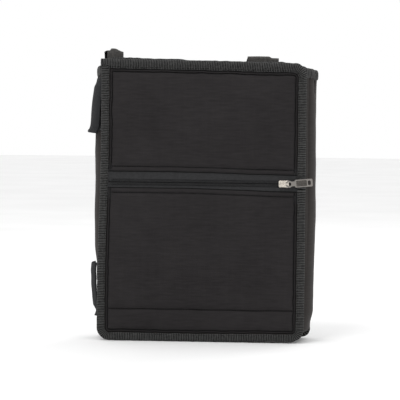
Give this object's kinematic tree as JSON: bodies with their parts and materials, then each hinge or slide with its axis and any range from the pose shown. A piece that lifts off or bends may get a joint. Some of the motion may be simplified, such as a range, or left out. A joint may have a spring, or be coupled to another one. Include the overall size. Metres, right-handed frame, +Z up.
{
  "type": "drum stick bag",
  "caption": "Open-topped padded bag for drum sticks with a zipped front pocket, webbing loops at the back of its mouth and webbing straps on its left side.",
  "frame": {"origin": "on the floor, midway between the front and the back seams and between the two sides", "axes": "+X to the right as seen from the front, +Y towards the back, +Z up to the open mouth"},
  "size_m": [0.359, 0.1033, 0.4545],
  "materials": {
    "padded_fabric": "matte knit",
    "gusset_fabric": "matte knit",
    "lining": "matte woven",
    "binding": "ribbed tape",
    "zip_tape": "woven tape",
    "zip_coil": "satin",
    "slider_metal": "polished nickel",
    "pull_metal": "dark nickel",
    "webbing": "ribbed webbing",
    "hook_tape": "hook tape",
    "loop_tape": "loop tape"
  },
  "bodies": {
    "shell": {"back_panel": "padded_fabric", "gusset_left": "gusset_fabric", "gusset_right": "gusset_fabric", "gusset_bottom": "gusset_fabric", "back_seam_binding": "binding", "mouth_tape_back": "binding", "mouth_tape_left": "binding", "mouth_tape_right": "binding", "loop_pad_upper": "loop_tape", "loop_pad_lower": "loop_tape"},
    "front": {"front_panel_upper": "padded_fabric", "front_panel_lower": "padded_fabric", "pocket_lining": "lining", "front_seam_binding": "binding", "mouth_tape_front": "binding", "zip_tape_upper": "zip_tape", "zip_tape_lower": "zip_tape", "zip_coil_upper": "zip_coil", "zip_coil_lower": "zip_coil"},
    "slider": {"slider_body": "slider_metal", "slider_bail": "slider_metal"},
    "pull": {"pull_tab": "pull_metal"},
    "loop_left": {"hanging_loop_left": "webbing"},
    "loop_right": {"hanging_loop_right": "webbing"},
    "strap_upper": {"side_strap_upper": "webbing", "hook_pad_upper": "hook_tape"},
    "strap_lower": {"side_strap_lower": "webbing", "hook_pad_lower": "hook_tape"}
  },
  "joints": [
    {"name": "mouth_open", "type": "hinge", "parent": "shell", "child": "front", "pos_m": [0, -0.04, 0.0125], "axis": [1, 0, 0], "range_deg": [0, 4], "stiffness_Nm_per_rad": 6, "deforming": ["gusset_left", "gusset_right", "gusset_bottom", "mouth_tape_left", "mouth_tape_right"]},
    {"name": "zip_slide", "type": "slide", "parent": "front", "child": "slider", "axis": [-1, 0, 0], "range_m": [0, 0.258]},
    {"name": "pull_swing", "type": "hinge", "parent": "slider", "child": "pull", "pos_m": [0.1275, -0.0466, 0.2478], "axis": [0, 0, -1], "range_deg": [0, 140]},
    {"name": "loop_left_fold", "type": "hinge", "parent": "shell", "child": "loop_left", "pos_m": [-0.156, 0.0437, 0.431], "axis": [-1, 0, 0], "range_deg": [0, 75], "stiffness_Nm_per_rad": 0.02},
    {"name": "loop_right_fold", "type": "hinge", "parent": "shell", "child": "loop_right", "pos_m": [0.083, 0.0437, 0.431], "axis": [-1, 0, 0], "range_deg": [0, 75], "stiffness_Nm_per_rad": 0.02},
    {"name": "strap_upper_swing", "type": "hinge", "parent": "shell", "child": "strap_upper", "pos_m": [-0.176, 0, 0.412], "axis": [0, 1, 0], "range_deg": [0, 150]},
    {"name": "strap_lower_swing", "type": "hinge", "parent": "shell", "child": "strap_lower", "pos_m": [-0.166, 0, 0.044], "axis": [0, -1, 0], "range_deg": [0, 100]}
  ]
}
